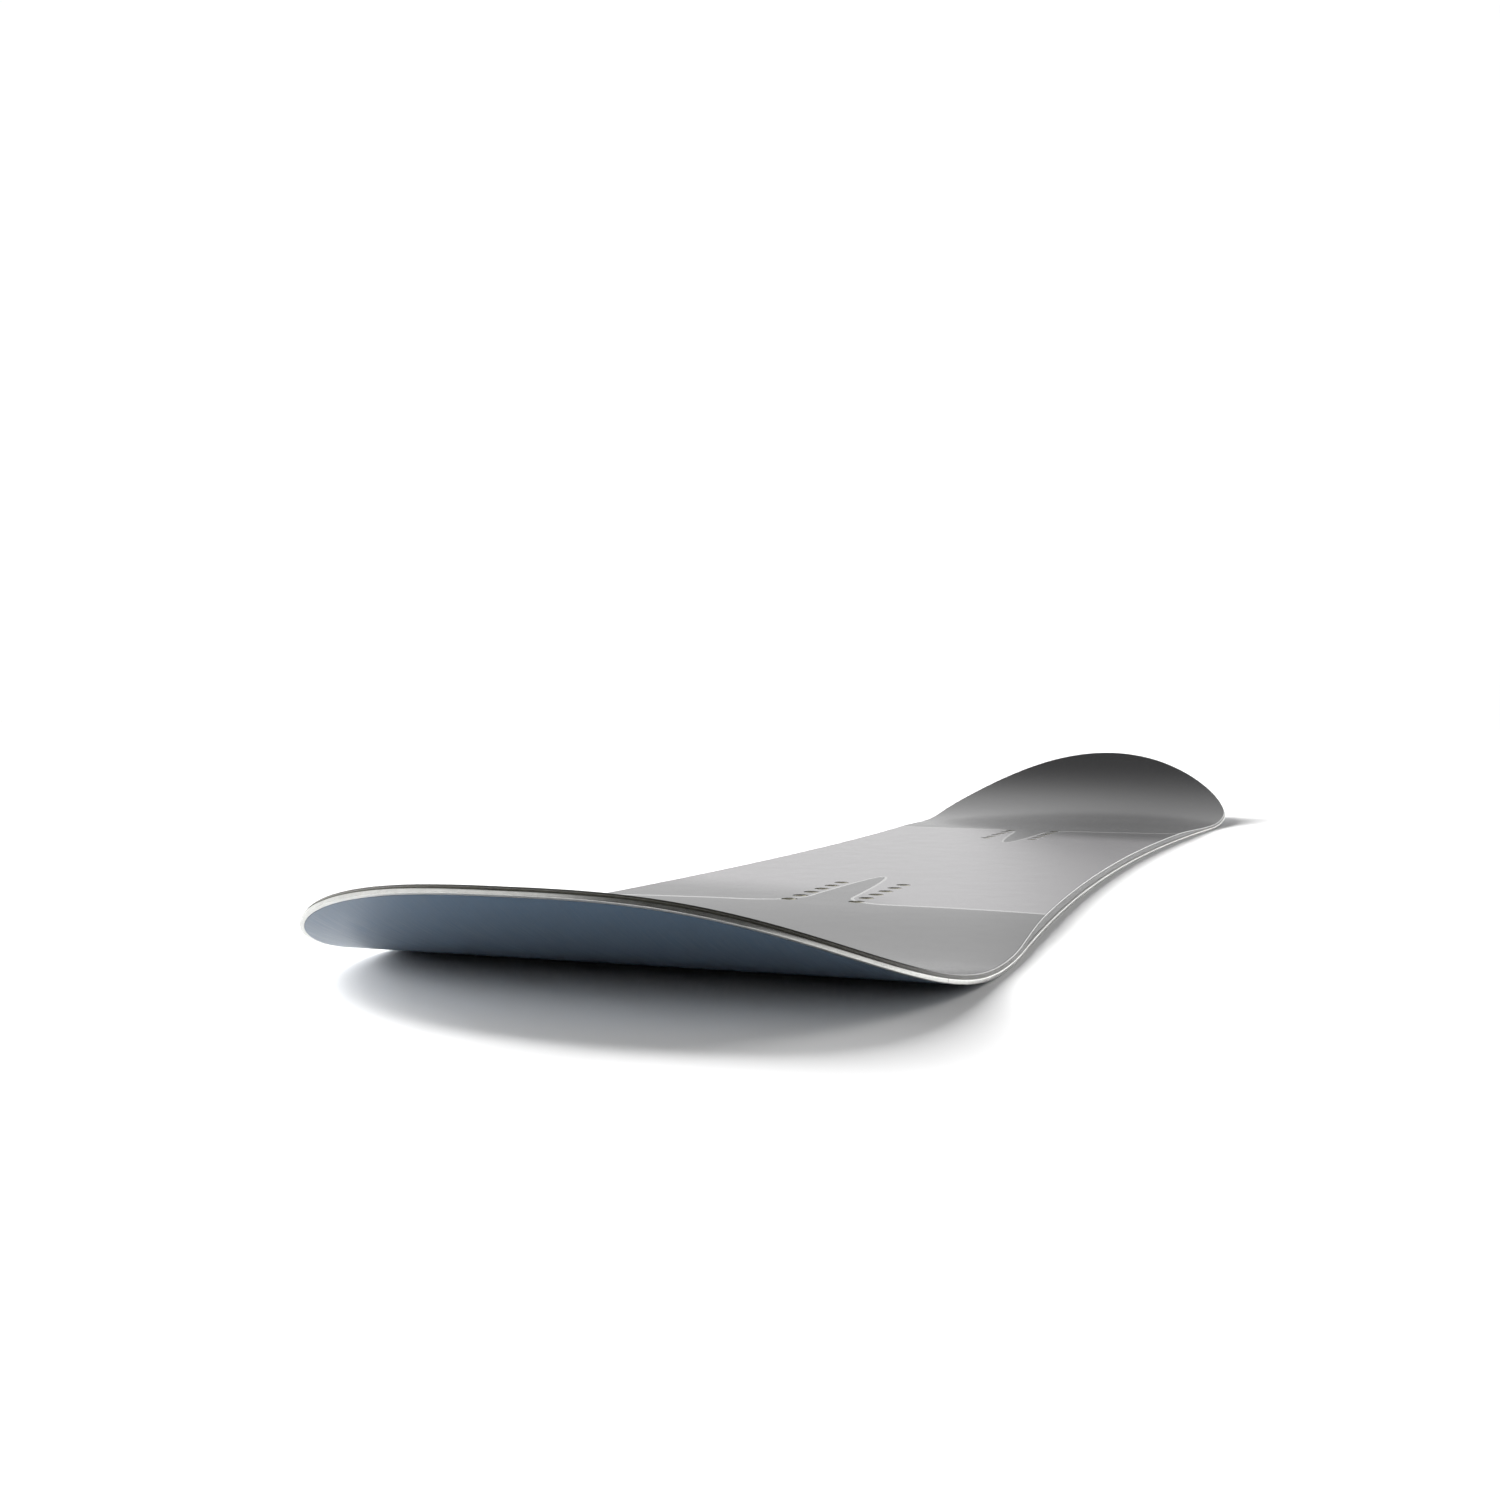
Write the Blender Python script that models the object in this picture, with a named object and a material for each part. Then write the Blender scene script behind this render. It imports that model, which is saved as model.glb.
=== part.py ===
"""A directional snowboard, as its laminated pieces.

Every piece is drawn as if the board lay flat in its mould: s is the arc length along the base from the
stance centre (positive towards the nose), y the distance from the centreline (positive to the left when
looking at the nose) and h the height above the running face of the base. bend() then carries s and h onto
the curve of the mould. Metres, +Z up, origin on the floor below the middle of the overall length.
"""

import math

import bmesh
import bpy
import numpy as np

# Running length and tips, measured along the base from the stance centre
TAIL_CONTACT = 0.478
NOSE_CONTACT = 0.479
TAIL_KICK = 0.208
NOSE_KICK = 0.303
# Slope that each kick reaches at its tip, and how late in the kick it comes in
TAIL_SLOPE = math.radians(31.9)
TAIL_SLOPE_POWER = 1.44
NOSE_SLOPE = math.radians(27.2)
NOSE_SLOPE_POWER = 1.15

# Plan outline
TAIL_WIDEST_AT = 0.507
NOSE_WIDEST_AT = 0.572
WAIST_AT = 0.019
WAIST_WIDTH = 0.241
NOSE_WIDTH = 0.295
NOSE_OVER_TAIL = 0.008
SIDECUT_RUNOUT = 0.070
TAIL_ROUND = (2.53, 2.88)
NOSE_ROUND = (1.83, 2.03)

# Layers, from the snow up
BOND = 0.0002
BASE_THICK = 0.0014
FLANGE_THICK = 0.0005
GLASS_THICK = 0.0003
DAMPER_THICK = 0.0002
SPACER_RIM_THICK = 0.00025
TOPSHEET_THICK = 0.0003
MIDDLE_THICK = 0.0064

# Rim
BEAD_WIDTH = 0.0020
FLANGE_REACH = 0.0060
EDGE_JOINT = 0.070
EDGE_BUTT = 0.0003
SIDEWALL_LEAN = 0.0018
TIP_LEAN = 0.0010

# Core, and how the board thins from the stance to the tips
THINNING_LENGTH = 0.156
CORE_STOP = 0.060
LEAST_OUTER_LATH = 0.008

# Insert packs for the bindings
PACK_AT = 0.257
PACK_HOLES = 6
HOLE_PITCH = 0.020
ROW_GAP = 0.040
PACK_MARGIN = 0.015
INSERT_FLANGE_RADIUS = 0.0080
INSERT_FLANGE_THICK = 0.0010
INSERT_BARREL_RADIUS = 0.0045
INSERT_BORE_RADIUS = 0.0025
INSERT_FLOOR = 0.0008
INSERT_RECESS = 0.0004
INSERT_FIT = 0.0002
INSERT_SIDES = 16

# Facets
TIP_STEPS = 15
TAIL_SIDE_STEPS = 9
LEVEL_STEPS = 12
NOSE_SIDE_STEPS = 12
MOULD_STEPS = 400
ROW_CLEAR = 0.005
SLOPE_STEP = 0.0001
WELD = 1e-6
SMOOTH_BELOW = math.radians(30)

# Places that follow from the sizes above
TAIL_WIDTH = NOSE_WIDTH - NOSE_OVER_TAIL
TAIL_END = -(TAIL_CONTACT + TAIL_KICK)
NOSE_END = NOSE_CONTACT + NOSE_KICK
# Each tip from its widest place: where it starts, where it ends, its half width and its roundness
TAIL_TIP = (-TAIL_WIDEST_AT, TAIL_END, TAIL_WIDTH / 2, TAIL_ROUND)
NOSE_TIP = (NOSE_WIDEST_AT, NOSE_END, NOSE_WIDTH / 2, NOSE_ROUND)
PACK_HALF = (PACK_HOLES - 1) * HOLE_PITCH / 2
LEVEL_HALF = PACK_AT + PACK_HALF + PACK_MARGIN
CORE_TAIL = -(TAIL_CONTACT - CORE_STOP)
CORE_NOSE = NOSE_CONTACT - CORE_STOP
LATH_WIDTH = ROW_GAP / 2
# Heights of the layers at the rim, over the flange of the steel edge
BEAD_TOP = BASE_THICK + BOND + FLANGE_THICK
RIM_GLASS = BEAD_TOP + BOND
RIM_DAMPER = RIM_GLASS + GLASS_THICK + BOND
RIM_SIDEWALL = RIM_DAMPER + DAMPER_THICK + BOND
# Heights of the layers inside the flange, where they lie straight on the base
INNER_GLASS = BASE_THICK + BOND
INNER_CORE = INNER_GLASS + GLASS_THICK + BOND
# Depths below the top of the board
UPPER_GLASS_TOP = TOPSHEET_THICK + BOND
CORE_TOP = UPPER_GLASS_TOP + GLASS_THICK + BOND
TIP_THICK = RIM_DAMPER + SPACER_RIM_THICK + CORE_TOP
# Insets from the outline, where the lower cloth steps down from the flange at 45 degrees
BASE_INSET = BEAD_WIDTH + BOND
FLANGE_INSET = BEAD_WIDTH + FLANGE_REACH
STEP_RISE = RIM_GLASS - INNER_GLASS
STEP_INSET = FLANGE_INSET + BOND
STEP_SHIFT = GLASS_THICK * (math.sqrt(2) - 1)
CORE_INSET = STEP_INSET + STEP_RISE + STEP_SHIFT + BOND
SIDEWALL_INSET = CORE_INSET - BOND

FINISHES = {
    "base_plastic": ((0.16, 0.24, 0.33), 0.35, 0.0),
    "edge_steel": ((0.62, 0.62, 0.60), 0.28, 1.0),
    "damping_rubber": ((0.03, 0.03, 0.03), 0.80, 0.0),
    "glass_laminate": ((0.62, 0.63, 0.50), 0.45, 0.0),
    "core_wood": ((0.70, 0.53, 0.34), 0.65, 0.0),
    "side_plastic": ((0.27, 0.27, 0.27), 0.50, 0.0),
    "topsheet_film": ((0.50, 0.49, 0.50), 0.32, 0.0),
    "insert_steel": ((0.50, 0.46, 0.36), 0.38, 1.0),
}


def ease(share):
    """Smooth step from 0 to 1."""
    share = np.clip(share, 0.0, 1.0)
    return share * share * (3.0 - 2.0 * share)


def base_slope(s):
    """Angle of the base to the floor: level between the contacts, a rising power law in each kick."""
    tail = np.clip((-s - TAIL_CONTACT) / TAIL_KICK, 0.0, 1.0) ** TAIL_SLOPE_POWER
    nose = np.clip((s - NOSE_CONTACT) / NOSE_KICK, 0.0, 1.0) ** NOSE_SLOPE_POWER
    return NOSE_SLOPE * nose - TAIL_SLOPE * tail


def mould_curve():
    """The base from tail to nose: arc length, distance along the floor, height and slope."""
    tail = np.linspace(TAIL_END, -TAIL_CONTACT, MOULD_STEPS)
    nose = np.linspace(NOSE_CONTACT, NOSE_END, MOULD_STEPS)
    s = np.concatenate([tail, nose])
    slope = base_slope(s)
    run = np.diff(s)
    mean = (slope[1:] + slope[:-1]) / 2
    x = np.concatenate([[0.0], np.cumsum(run * np.cos(mean))])
    z = np.concatenate([[0.0], np.cumsum(run * np.sin(mean))])
    return s, x - x[-1] / 2, z - z[MOULD_STEPS], slope


MOULD = mould_curve()


def bend(s, y, h):
    """World places of flat places, as an array that ends in x, y, z."""
    slope = np.interp(s, MOULD[0], MOULD[3])
    x = np.interp(s, MOULD[0], MOULD[1]) - h * np.sin(slope)
    z = np.interp(s, MOULD[0], MOULD[2]) + h * np.cos(slope)
    return np.stack(np.broadcast_arrays(x, y, z), axis=-1)


def half_width(s):
    """Sidecut: a parabola out from the waist that eases to no slope at the widest places."""
    tailward = s < WAIST_AT
    reach = np.where(tailward, WAIST_AT + TAIL_WIDEST_AT, NOSE_WIDEST_AT - WAIST_AT)
    depth = (np.where(tailward, TAIL_WIDTH, NOSE_WIDTH) - WAIST_WIDTH) / 2
    far = np.minimum(np.abs(s - WAIST_AT), reach)
    straight = reach - SIDECUT_RUNOUT
    past = np.maximum(far - straight, 0.0)
    rate = depth / (straight * reach)
    inner = rate * np.minimum(far, straight) ** 2
    outer = rate * straight * (2 * past - past * past / SIDECUT_RUNOUT)
    return WAIST_WIDTH / 2 + inner + outer


def side_stretch(s):
    """Length of the outline for each length along the board, which turns an inset into a change of width."""
    slope = (half_width(s + SLOPE_STEP) - half_width(s - SLOPE_STEP)) / (2 * SLOPE_STEP)
    return np.sqrt(1.0 + slope * slope)


def thinned(s):
    """0 over the stance, where the board is at its thickest, to 1 where it has thinned to the tips."""
    return ease((np.abs(s) - LEVEL_HALF) / THINNING_LENGTH)


def thickness(s):
    """Height of the top of the board over its base."""
    return MIDDLE_THICK + (TIP_THICK - MIDDLE_THICK) * thinned(s)


def lean(s):
    """How far the rim leans in between the top of the steel and the top of the board."""
    return SIDEWALL_LEAN + (TIP_LEAN - SIDEWALL_LEAN) * thinned(s)


def at(value):
    """The same inset or height all along the board."""
    return lambda s: np.full_like(s, value)


def below_top(depth):
    """A height that keeps this far under the top of the board."""
    return lambda s: thickness(s) - depth


def leaning(height):
    """The inset of the rim's leaning face at this height."""
    return lambda s: lean(s) * (height(s) - BEAD_TOP) / (thickness(s) - BEAD_TOP)


def side_rows(tail_cut, nose_cut):
    """Where the sides have their rows of points: close where the board thins, wide apart over the stance."""
    tail = np.linspace(-TAIL_WIDEST_AT, -LEVEL_HALF, TAIL_SIDE_STEPS + 1)
    level = np.linspace(-LEVEL_HALF, LEVEL_HALF, LEVEL_STEPS + 1)
    nose = np.linspace(LEVEL_HALF, NOSE_WIDEST_AT, NOSE_SIDE_STEPS + 1)
    rows = np.concatenate([tail, level[1:-1], nose])
    low = tail_cut if tail_cut is not None else -math.inf
    high = nose_cut if nose_cut is not None else math.inf
    rows = rows[(rows > low + ROW_CLEAR) & (rows < high - ROW_CLEAR)]
    ends = [[cut] for cut in (tail_cut, nose_cut) if cut is not None]
    return np.sort(np.concatenate([rows, *ends]))


def tip_turns(tip):
    """The turns round a tip at which it has rows, in even steps, with one at the joint of the steel edges."""
    widest, end, _, powers = tip
    joint = math.asin((EDGE_JOINT / abs(end - widest)) ** (powers[0] / 2))
    even = np.linspace(0.0, math.pi / 2, TIP_STEPS + 1)
    apart = np.abs(even - joint) > even[1] / 3
    return np.sort(np.append(even[apart], joint)), joint


def rows_past_joint(tip):
    """How many rows lie between the joint of the steel edges and the tip, the tip's own included."""
    turns, joint = tip_turns(tip)
    return int(np.count_nonzero(turns > joint))


def tip_arc(tip, inset):
    """A superellipse from the widest place to the tip, moved in by the inset along its facets' normals."""
    widest, end, half, powers = tip
    turn = tip_turns(tip)[0]
    s = widest + (end - widest) * np.sin(turn) ** (2 / powers[0])
    y = half * np.maximum(np.cos(turn), 0.0) ** (2 / powers[1])
    y[-1] = 0.0
    moved = inset(s)[1:]
    s = np.append(s, s[-2])
    y = np.append(y, -y[-2])
    out = math.copysign(1.0, end)
    length = np.hypot(np.diff(s), np.diff(y))
    normal_s = -np.diff(y) / length * out
    normal_y = np.diff(s) / length * out
    mitre = 1.0 + normal_s[1:] * normal_s[:-1] + normal_y[1:] * normal_y[:-1]
    s = s[1:-1] - moved * (normal_s[1:] + normal_s[:-1]) / mitre
    y = y[1:-1] - moved * (normal_y[1:] + normal_y[:-1]) / mitre
    y[-1] = 0.0
    return s, y


def rim(inset, tail_cut=None, nose_cut=None):
    """Half of the outline moved in, from tail to nose; a cut ends it square instead of at the tip."""
    s = side_rows(tail_cut, nose_cut)
    y = half_width(s) - inset(s) * side_stretch(s)
    if tail_cut is None:
        tip_s, tip_y = tip_arc(TAIL_TIP, inset)
        s = np.concatenate([tip_s[::-1], s])
        y = np.concatenate([tip_y[::-1], y])
    if nose_cut is None:
        tip_s, tip_y = tip_arc(NOSE_TIP, inset)
        s = np.concatenate([s, tip_s])
        y = np.concatenate([y, tip_y])
    return s, y


def finish(name):
    """The Principled material of this name, made the first time it is asked for."""
    found = bpy.data.materials.get(name)
    if found is not None:
        return found
    color, roughness, metallic = FINISHES[name]
    made = bpy.data.materials.new(name)
    made.use_nodes = True
    shader = made.node_tree.nodes["Principled BSDF"]
    shader.inputs["Base Color"].default_value = (*color, 1.0)
    shader.inputs["Roughness"].default_value = roughness
    shader.inputs["Metallic"].default_value = metallic
    made.diffuse_color = (*color, 1.0)
    return made


def place(name, mesh, material):
    """An object of this mesh in the scene."""
    if not mesh.materials:
        mesh.materials.append(finish(material))
    piece = bpy.data.objects.new(name, mesh)
    bpy.context.scene.collection.objects.link(piece)
    return piece


def skin(name, rings, material, tail_cap=True, nose_cap=True):
    """A closed solid from rings of points, each joined to the next; a ring that has shrunk to a line is welded."""
    rows, points = rings.shape[:2]
    grid = np.arange(rows * points).reshape(rows, points)
    beside = np.roll(grid, -1, axis=1)
    walls = np.stack([grid[:-1], beside[:-1], beside[1:], grid[1:]], axis=-1)
    faces = walls.reshape(-1, 4).tolist()
    if tail_cap:
        faces.append(grid[0].tolist())
    if nose_cap:
        faces.append(grid[-1].tolist())
    mesh = bpy.data.meshes.new(name)
    mesh.from_pydata(rings.reshape(-1, 3).tolist(), [], faces)
    shape = bmesh.new()
    shape.from_mesh(mesh)
    bmesh.ops.remove_doubles(shape, verts=shape.verts, dist=WELD)
    bmesh.ops.recalc_face_normals(shape, faces=shape.faces)
    shape.to_mesh(mesh)
    shape.free()
    mesh.shade_smooth()
    mesh.set_sharp_from_angle(angle=SMOOTH_BELOW)
    return place(name, mesh, material)


def plate(name, section, material, tail_cut=None, nose_cut=None):
    """A full-width layer. The section lists its inset and height from the middle of its underside to its top."""
    places = []
    for inset, height in section:
        s, y = rim(inset, tail_cut, nose_cut)
        places.append((s, y, height(s)))
    right = [bend(s, -y, h) for s, y, h in places]
    left = [bend(s, y, h) for s, y, h in reversed(places)]
    rings = np.stack(right + left, axis=1)
    return skin(name, rings, material, tail_cut is not None, nose_cut is not None)


def side_rings(side, section, tail_cut=None, nose_cut=None):
    """A section carried along one side, as rings. It lists its corners, as insets and heights, once round."""
    corners = []
    for inset, height in section:
        s, y = rim(inset, tail_cut, nose_cut)
        corners.append(bend(s, side * y, height(s)))
    return np.stack(corners, axis=1)


def butted(rings):
    """The same rings with each end drawn back by half the gap of a butt joint."""
    rings = rings.copy()
    for end, inner in ((0, 1), (-1, -2)):
        step = rings[inner] - rings[end]
        rings[end] += step * EDGE_BUTT / 2 / np.linalg.norm(step, axis=1).mean()
    return rings


def base_sheet():
    """The running base, which ends against the steel edges."""
    section = [(at(BASE_INSET), at(0.0)), (at(BASE_INSET), at(BASE_THICK))]
    return plate("base_sheet", section, "base_plastic")


def steel_edges():
    """A square bead with a flange over the base: one edge along each side, one hoop round each tip."""
    section = [
        (at(0.0), at(0.0)),
        (at(0.0), at(BEAD_TOP)),
        (at(FLANGE_INSET), at(BEAD_TOP)),
        (at(FLANGE_INSET), at(BEAD_TOP - FLANGE_THICK)),
        (at(BEAD_WIDTH), at(BEAD_TOP - FLANGE_THICK)),
        (at(BEAD_WIDTH), at(0.0)),
    ]
    left = side_rings(1, section)
    right = side_rings(-1, section)
    tail = rows_past_joint(TAIL_TIP)
    nose = len(left) - 1 - rows_past_joint(NOSE_TIP)
    runs = {
        "left": left[tail : nose + 1],
        "right": right[tail : nose + 1],
        "tail": np.concatenate([right[tail::-1], left[1 : tail + 1]]),
        "nose": np.concatenate([right[nose:], left[-2 : nose - 1 : -1]]),
    }
    for word, rings in runs.items():
        skin(f"steel_edge_{word}", butted(rings), "edge_steel")


def lower_fibreglass():
    """The cloth under the core, which steps up at its rim to bind in the flanges of the edges."""
    under = at(RIM_GLASS)
    over = at(RIM_GLASS + GLASS_THICK)
    section = [
        (at(STEP_INSET + STEP_RISE), at(INNER_GLASS)),
        (at(STEP_INSET), under),
        (leaning(under), under),
        (leaning(over), over),
        (at(STEP_INSET + STEP_SHIFT), over),
        (at(STEP_INSET + STEP_SHIFT + STEP_RISE), at(INNER_GLASS + GLASS_THICK)),
    ]
    return plate("lower_fibreglass", section, "glass_laminate")


def side_pieces():
    """On each side a thin rubber strip with a sidewall on it, beside the core."""
    damper_under = at(RIM_DAMPER)
    damper_over = at(RIM_DAMPER + DAMPER_THICK)
    wall_under = at(RIM_SIDEWALL)
    wall_over = below_top(CORE_TOP)
    layers = {
        "damping_strip": (damper_under, damper_over, "damping_rubber"),
        "sidewall": (wall_under, wall_over, "side_plastic"),
    }
    for layer, (under, over, material) in layers.items():
        section = [
            (leaning(under), under),
            (leaning(over), over),
            (at(SIDEWALL_INSET), over),
            (at(SIDEWALL_INSET), under),
        ]
        for side, word in ((1, "left"), (-1, "right")):
            skin(f"{layer}_{word}", side_rings(side, section, CORE_TAIL, CORE_NOSE), material)


def tip_spacers():
    """A plastic filler in each tip, as thick as the core where it meets it, thinner over the steel's flange."""
    top = below_top(CORE_TOP)
    rim_under = at(RIM_DAMPER)
    step = RIM_DAMPER - INNER_CORE
    section = [
        (at(CORE_INSET), at(INNER_CORE)),
        (at(CORE_INSET - step), rim_under),
        (leaning(rim_under), rim_under),
        (leaning(top), top),
    ]
    plate("tip_spacer_tail", section, "side_plastic", nose_cut=CORE_TAIL - BOND)
    plate("tip_spacer_nose", section, "side_plastic", tail_cut=CORE_NOSE + BOND)


def lath(name, inner, outer):
    """One strip of the core, between two edges given as distances from the centreline."""
    s, outline = rim(at(CORE_INSET), CORE_TAIL, CORE_NOSE)
    low = np.full_like(s, INNER_CORE)
    high = thickness(s) - CORE_TOP
    near = np.full_like(s, inner)
    far = outline * math.copysign(1.0, inner) if outer is None else np.full_like(s, outer)
    corners = [bend(s, near, low), bend(s, far, low), bend(s, far, high), bend(s, near, high)]
    return skin(name, np.stack(corners, axis=1), "core_wood")


def core_laths():
    """Strips side by side: one on the centreline, one under each row of inserts, and so on to the sidewalls."""
    half = LATH_WIDTH / 2
    glue = BOND / 2
    least = rim(at(CORE_INSET), CORE_TAIL, CORE_NOSE)[1].min()
    pairs = int((least - LEAST_OUTER_LATH - half) / LATH_WIDTH)
    laths = [lath("core_lath_centre", -(half - glue), half - glue)]
    for side, word in ((1, "left"), (-1, "right")):
        for k in range(pairs):
            inner = half + k * LATH_WIDTH
            ends = side * (inner + glue), side * (inner + LATH_WIDTH - glue)
            laths.append(lath(f"core_lath_{word}_{k + 1}", *ends))
        inner = half + pairs * LATH_WIDTH
        laths.append(lath(f"core_lath_{word}_outer", side * (inner + glue), None))
    return laths


def upper_fibreglass():
    """The cloth over the core."""
    under = below_top(UPPER_GLASS_TOP + GLASS_THICK)
    over = below_top(UPPER_GLASS_TOP)
    section = [(leaning(under), under), (leaning(over), over)]
    return plate("upper_fibreglass", section, "glass_laminate")


def topsheet():
    """The printed film that closes the top."""
    under = below_top(TOPSHEET_THICK)
    over = below_top(0.0)
    section = [(leaning(under), under), (leaning(over), over)]
    return plate("topsheet", section, "topsheet_film")


def insert_places():
    """Name, x and y of each insert: two packs, two rows in each, numbered from the tail."""
    for pack, middle in (("rear", -PACK_AT), ("front", PACK_AT)):
        for row, y in (("left", ROW_GAP / 2), ("right", -ROW_GAP / 2)):
            for k in range(PACK_HOLES):
                s = middle - PACK_HALF + k * HOLE_PITCH
                yield f"insert_{pack}_{row}_{k + 1}", float(bend(s, y, 0.0)[0]), y


def turned(name, profile, material):
    """A solid turned about its own +Z axis from radii and heights that start and end on the axis."""
    turn = np.arange(INSERT_SIDES) * 2 * math.pi / INSERT_SIDES
    across = np.stack([np.cos(turn), np.sin(turn)], axis=-1)
    rings = np.zeros((len(profile), INSERT_SIDES, 3))
    for ring, (radius, height) in zip(rings, profile):
        ring[:, :2] = radius * across
        ring[:, 2] = height
    return skin(name, rings, material, tail_cap=False, nose_cap=False)


def inserts():
    """Threaded inserts: a flange under the core, a barrel up to the topsheet and a blind bore for the screw."""
    low = INNER_CORE
    top = MIDDLE_THICK - INSERT_RECESS
    profile = [
        (0.0, low),
        (INSERT_FLANGE_RADIUS, low),
        (INSERT_FLANGE_RADIUS, low + INSERT_FLANGE_THICK),
        (INSERT_BARREL_RADIUS, low + INSERT_FLANGE_THICK),
        (INSERT_BARREL_RADIUS, top),
        (INSERT_BORE_RADIUS, top),
        (INSERT_BORE_RADIUS, low + INSERT_FLOOR),
        (0.0, low + INSERT_FLOOR),
    ]
    mesh = None
    for name, x, y in insert_places():
        piece = turned(name, profile, "insert_steel") if mesh is None else place(name, mesh, "insert_steel")
        mesh = piece.data
        piece.location = (x, y, 0.0)


def hole_cutter():
    """The inserts with their clearance, as one cutter that runs out above and below the board."""
    flange = INSERT_FLANGE_RADIUS + INSERT_FIT
    barrel = INSERT_BARREL_RADIUS + INSERT_FIT
    shoulder = INNER_CORE + INSERT_FLANGE_THICK + INSERT_FIT
    profile = [
        (0.0, INNER_CORE - BOND / 2),
        (flange, INNER_CORE - BOND / 2),
        (flange, shoulder),
        (barrel, shoulder),
        (barrel, 2 * MIDDLE_THICK),
        (0.0, 2 * MIDDLE_THICK),
    ]
    cutter = turned("insert_cutter", profile, "insert_steel")
    single = cutter.data
    shape = bmesh.new()
    for _, x, y in insert_places():
        first = len(shape.verts)
        shape.from_mesh(single)
        shape.verts.ensure_lookup_table()
        bmesh.ops.translate(shape, verts=shape.verts[first:], vec=(x, y, 0.0))
    shape.to_mesh(single)
    shape.free()
    cutter.hide_render = True
    cutter.display_type = "WIRE"
    return cutter


def drill(piece, cutter):
    """Takes the holes for the inserts out of a layer."""
    cut = piece.modifiers.new("insert_holes", "BOOLEAN")
    cut.operation = "DIFFERENCE"
    cut.solver = "EXACT"
    cut.object = cutter


def crosses_a_row(piece):
    """Whether a piece reaches the holes of an insert row."""
    radius = INSERT_FLANGE_RADIUS + INSERT_FIT
    sides = [corner[1] for corner in piece.bound_box]
    return any(min(sides) < y + radius and max(sides) > y - radius for y in (ROW_GAP / 2, -ROW_GAP / 2))


def clear_scene():
    """Removes whatever the scene holds."""
    for thing in list(bpy.data.objects):
        bpy.data.objects.remove(thing, do_unlink=True)


def build_board():
    """All the pieces, from the base up."""
    clear_scene()
    base_sheet()
    steel_edges()
    lower_fibreglass()
    side_pieces()
    tip_spacers()
    cutter = hole_cutter()
    for piece in core_laths() + [upper_fibreglass(), topsheet()]:
        if crosses_a_row(piece):
            drill(piece, cutter)
    inserts()


build_board()
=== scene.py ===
"""The looks of a snowboard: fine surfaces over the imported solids, their materials, the studio and the camera.

Shapes are worked out flat, as the board lies in its mould, and then bent: s is the arc length along the base
from the stance centre (positive towards the nose), y the distance from the centreline (positive to the left
when looking at the nose) and h the height above the running face of the base. Metres, +Z up.
"""

import math

import bpy
import numpy as np
from mathutils import Matrix, Vector


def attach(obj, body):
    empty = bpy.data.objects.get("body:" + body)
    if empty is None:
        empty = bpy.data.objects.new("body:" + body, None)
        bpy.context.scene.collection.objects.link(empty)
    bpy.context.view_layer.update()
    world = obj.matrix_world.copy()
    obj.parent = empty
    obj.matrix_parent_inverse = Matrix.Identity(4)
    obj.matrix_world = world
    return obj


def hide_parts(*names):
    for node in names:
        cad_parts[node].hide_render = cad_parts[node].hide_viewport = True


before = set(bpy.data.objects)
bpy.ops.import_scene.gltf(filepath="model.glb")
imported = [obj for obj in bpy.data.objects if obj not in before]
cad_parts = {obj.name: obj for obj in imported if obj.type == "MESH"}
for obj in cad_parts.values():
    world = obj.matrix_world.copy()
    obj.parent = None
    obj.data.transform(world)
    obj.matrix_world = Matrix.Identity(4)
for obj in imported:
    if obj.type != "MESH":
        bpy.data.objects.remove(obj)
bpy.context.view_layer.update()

# Mould curve and outline, as in the solids
TAIL_CONTACT = 0.478
NOSE_CONTACT = 0.479
TAIL_KICK = 0.208
NOSE_KICK = 0.303
TAIL_SLOPE = math.radians(31.9)
TAIL_SLOPE_POWER = 1.44
NOSE_SLOPE = math.radians(27.2)
NOSE_SLOPE_POWER = 1.15
TAIL_WIDEST_AT = 0.507
NOSE_WIDEST_AT = 0.572
WAIST_AT = 0.019
WAIST_WIDTH = 0.241
TAIL_WIDTH = 0.287
NOSE_WIDTH = 0.295
SIDECUT_RUNOUT = 0.070
TAIL_ROUND = (2.53, 2.88)
NOSE_ROUND = (1.83, 2.03)
TAIL_TIP = (-TAIL_WIDEST_AT, -(TAIL_CONTACT + TAIL_KICK), TAIL_WIDTH / 2, TAIL_ROUND)
NOSE_TIP = (NOSE_WIDEST_AT, NOSE_CONTACT + NOSE_KICK, NOSE_WIDTH / 2, NOSE_ROUND)

# Layers, as in the solids
BOND = 0.0002
BASE_THICK = 0.0014
FLANGE_THICK = 0.0005
GLASS_THICK = 0.0003
DAMPER_THICK = 0.0002
TOPSHEET_THICK = 0.0003
MIDDLE_THICK = 0.0064
TIP_THICK = 0.00405
BEAD_WIDTH = 0.0020
FLANGE_REACH = 0.0060
EDGE_JOINT = 0.070
EDGE_BUTT = 0.0003
SIDEWALL_LEAN = 0.0018
TIP_LEAN = 0.0010
THINNING_LENGTH = 0.156
CORE_TAIL = -0.418
CORE_NOSE = 0.419

# Insert packs, as in the solids
PACK_AT = 0.257
PACK_HOLES = 6
HOLE_PITCH = 0.020
ROW_GAP = 0.040
PACK_MARGIN = 0.015
INSERT_FLANGE_RADIUS = 0.0080
INSERT_FLANGE_THICK = 0.0010
INSERT_BARREL_RADIUS = 0.0045
INSERT_BORE_RADIUS = 0.0025
INSERT_FLOOR = 0.0008
INSERT_RECESS = 0.0004

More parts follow.
